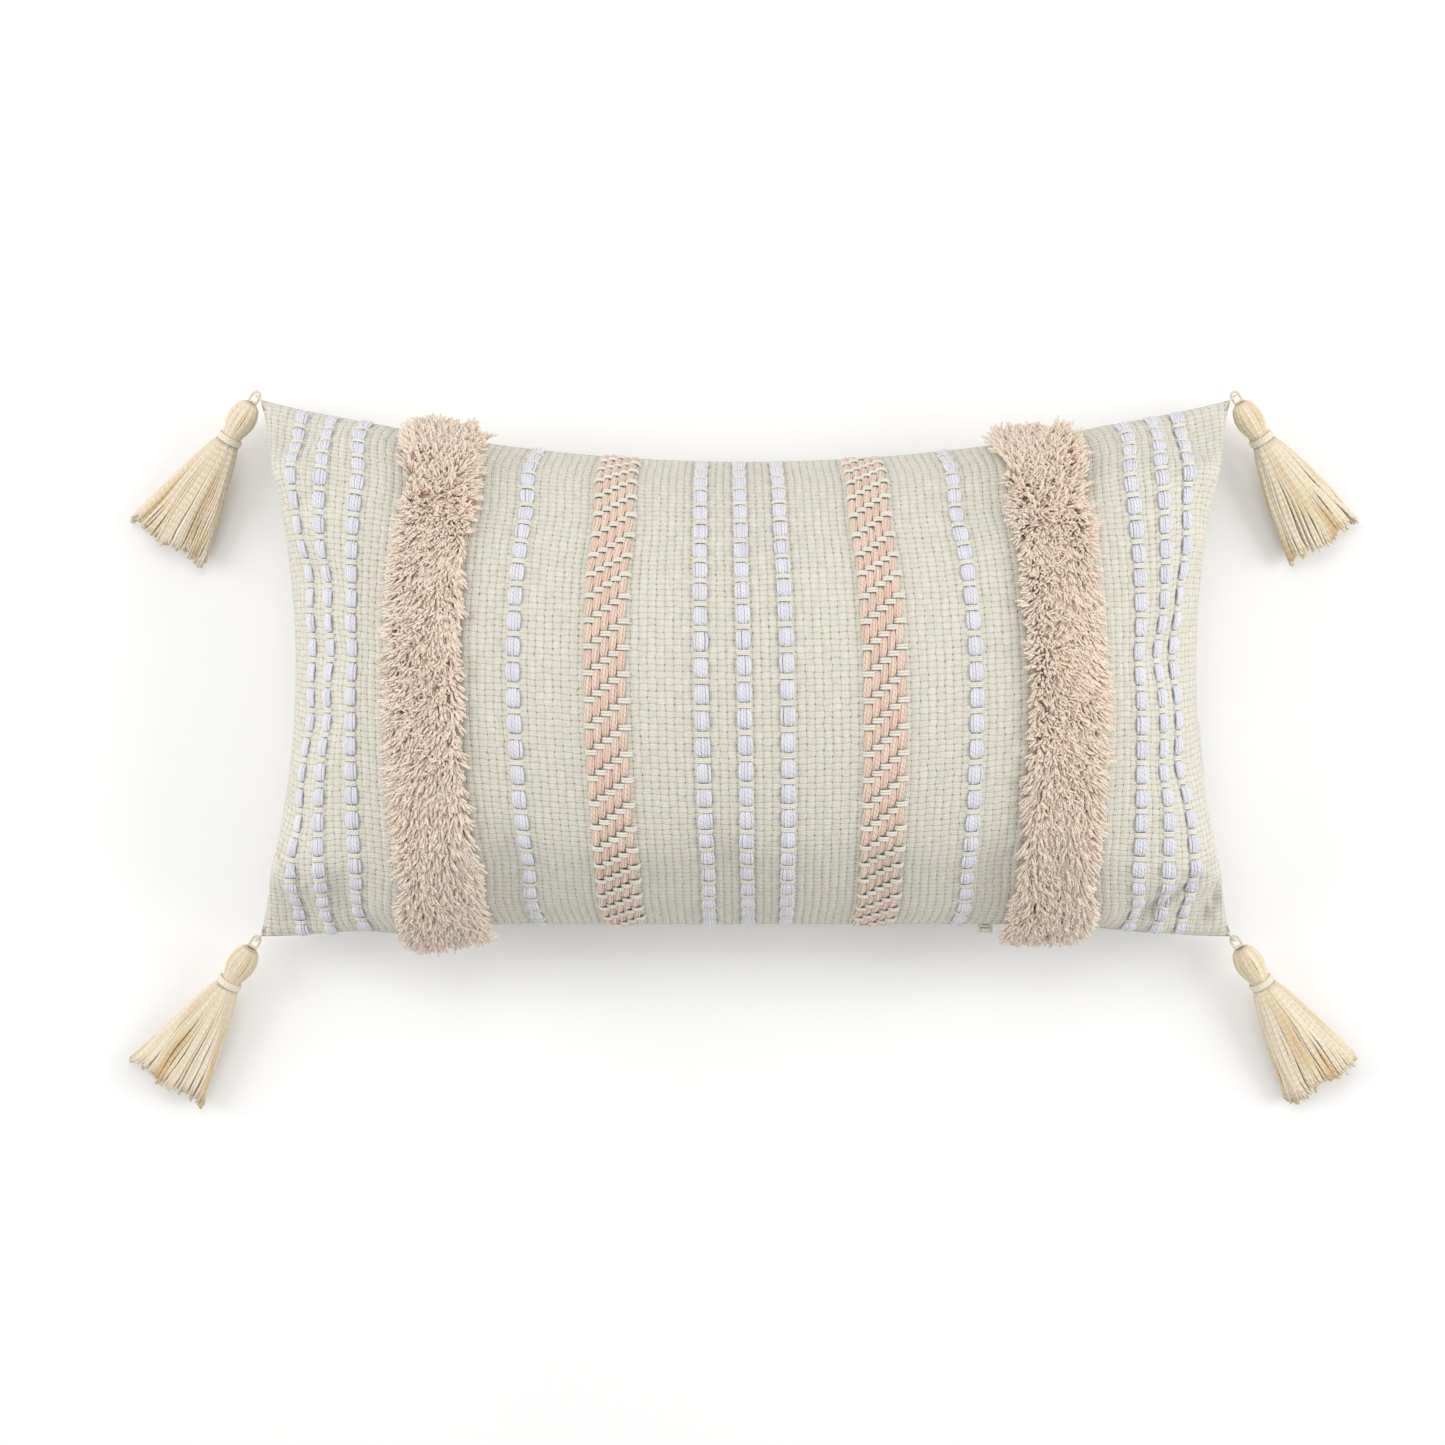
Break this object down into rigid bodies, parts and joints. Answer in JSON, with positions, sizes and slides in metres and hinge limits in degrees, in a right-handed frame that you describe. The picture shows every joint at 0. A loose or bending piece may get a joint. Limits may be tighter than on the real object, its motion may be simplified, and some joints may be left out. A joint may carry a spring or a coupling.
{
  "type": "throw pillow",
  "caption": "Lumbar throw pillow lying on its back: a crowned cream cover with lilac and blush stripes, shaggy pile strips, an edge zip, a fibre insert and a swinging tassel at each corner.",
  "frame": {"origin": "centre of the flat patch of the back panel that the pillow rests on", "axes": "+X along the length to the right, +Y towards the top edge, +Z out of the striped face"},
  "size_m": [0.6336, 0.3679, 0.1325],
  "materials": {
    "ground_weave": "plain weave of slubby cream cotton yarn, ribbed along the height",
    "backing_cloth": "fine plain cream cotton cloth",
    "lilac_yarn": "soft lilac-white floats",
    "blush_yarn": "soft blush floats under cream ties",
    "pile_yarn": "shaggy cut pile",
    "tassel_yarn": "loose ecru cotton yarn",
    "binding_thread": "tightly wound thread",
    "stitch_thread": "waxed sewing thread",
    "insert_casing": "non-woven white casing",
    "polyester_fibre": "lofted white fibre",
    "zip_tape": "knitted cream tape",
    "zip_nylon": "cream nylon coil",
    "zip_metal": "cream enamelled zinc",
    "label_ribbon": "blank white satin ribbon"
  },
  "bodies": {
    "pillow": {"front_panel": "ground_weave", "back_panel": "backing_cloth", "seam_allowance": "ground_weave", "care_label": "label_ribbon", "insert_front": "insert_casing", "insert_back": "insert_casing", "polyester_fill": "polyester_fibre", "chain_left_outer": "lilac_yarn", "chain_left_middle": "lilac_yarn", "chain_left_inner": "lilac_yarn", "chain_left_single": "lilac_yarn", "chain_centre_left": "lilac_yarn", "chain_centre": "lilac_yarn", "chain_centre_right": "lilac_yarn", "chain_right_single": "lilac_yarn", "chain_right_inner": "lilac_yarn", "chain_right_middle": "lilac_yarn", "chain_right_outer": "lilac_yarn", "zigzag_left": "blush_yarn", "zigzag_right": "blush_yarn", "pile_strip_left": "pile_yarn", "pile_strip_right": "pile_yarn", "zip_tape_front": "zip_tape", "zip_tape_back": "zip_tape", "zip_coil": "zip_nylon", "zip_top_stop": "zip_metal", "zip_bottom_stop": "zip_metal", "corner_stitch_tl": "stitch_thread", "corner_stitch_tr": "stitch_thread", "corner_stitch_bl": "stitch_thread", "corner_stitch_br": "stitch_thread"},
    "zip_slider": {"zip_slider": "zip_metal"},
    "zip_pull": {"zip_pull": "zip_metal"},
    "loop_tl": {"tassel_loop_tl": "stitch_thread"},
    "tassel_tl": {"tassel_head_tl": "tassel_yarn", "tassel_binding_tl": "binding_thread", "tassel_skirt_tl": "tassel_yarn"},
    "loop_tr": {"tassel_loop_tr": "stitch_thread"},
    "tassel_tr": {"tassel_head_tr": "tassel_yarn", "tassel_binding_tr": "binding_thread", "tassel_skirt_tr": "tassel_yarn"},
    "loop_bl": {"tassel_loop_bl": "stitch_thread"},
    "tassel_bl": {"tassel_head_bl": "tassel_yarn", "tassel_binding_bl": "binding_thread", "tassel_skirt_bl": "tassel_yarn"},
    "loop_br": {"tassel_loop_br": "stitch_thread"},
    "tassel_br": {"tassel_head_br": "tassel_yarn", "tassel_binding_br": "binding_thread", "tassel_skirt_br": "tassel_yarn"}
  },
  "joints": [
    {"name": "zip_slide", "type": "slide", "parent": "pillow", "child": "zip_slider", "axis": [-1, 0, 0], "range_m": [0, 0.2394]},
    {"name": "zip_pull_flip", "type": "hinge", "parent": "zip_slider", "child": "zip_pull", "pos_m": [0.1197, -0.1212, 0.05], "axis": [-1, 0, 0], "range_deg": [-10, 180]},
    {"name": "tassel_swing_tl", "type": "hinge", "parent": "pillow", "child": "loop_tl", "pos_m": [-0.24919, 0.14909, 0.022], "axis": [0, 0, -1], "range_deg": [-15, 120]},
    {"name": "tassel_lift_tl", "type": "hinge", "parent": "loop_tl", "child": "tassel_tl", "pos_m": [-0.25126, 0.14591, 0.022], "axis": [-0.8387, 0.5446, 0], "range_deg": [-60, 80]},
    {"name": "tassel_swing_tr", "type": "hinge", "parent": "pillow", "child": "loop_tr", "pos_m": [0.24919, 0.14909, 0.022], "axis": [0, 0, 1], "range_deg": [-15, 120]},
    {"name": "tassel_lift_tr", "type": "hinge", "parent": "loop_tr", "child": "tassel_tr", "pos_m": [0.25126, 0.14591, 0.022], "axis": [-0.8387, -0.5446, 0], "range_deg": [-60, 80]},
    {"name": "tassel_swing_bl", "type": "hinge", "parent": "pillow", "child": "loop_bl", "pos_m": [-0.24919, -0.12829, 0.022], "axis": [0, 0, -1], "range_deg": [-95, 115]},
    {"name": "tassel_lift_bl", "type": "hinge", "parent": "loop_bl", "child": "tassel_bl", "pos_m": [-0.25126, -0.13148, 0.022], "axis": [-0.8387, 0.5446, 0], "range_deg": [-60, 80]},
    {"name": "tassel_swing_br", "type": "hinge", "parent": "pillow", "child": "loop_br", "pos_m": [0.24919, -0.12829, 0.022], "axis": [0, 0, 1], "range_deg": [-95, 115]},
    {"name": "tassel_lift_br", "type": "hinge", "parent": "loop_br", "child": "tassel_br", "pos_m": [0.25126, -0.13148, 0.022], "axis": [-0.8387, -0.5446, 0], "range_deg": [-60, 80]}
  ]
}
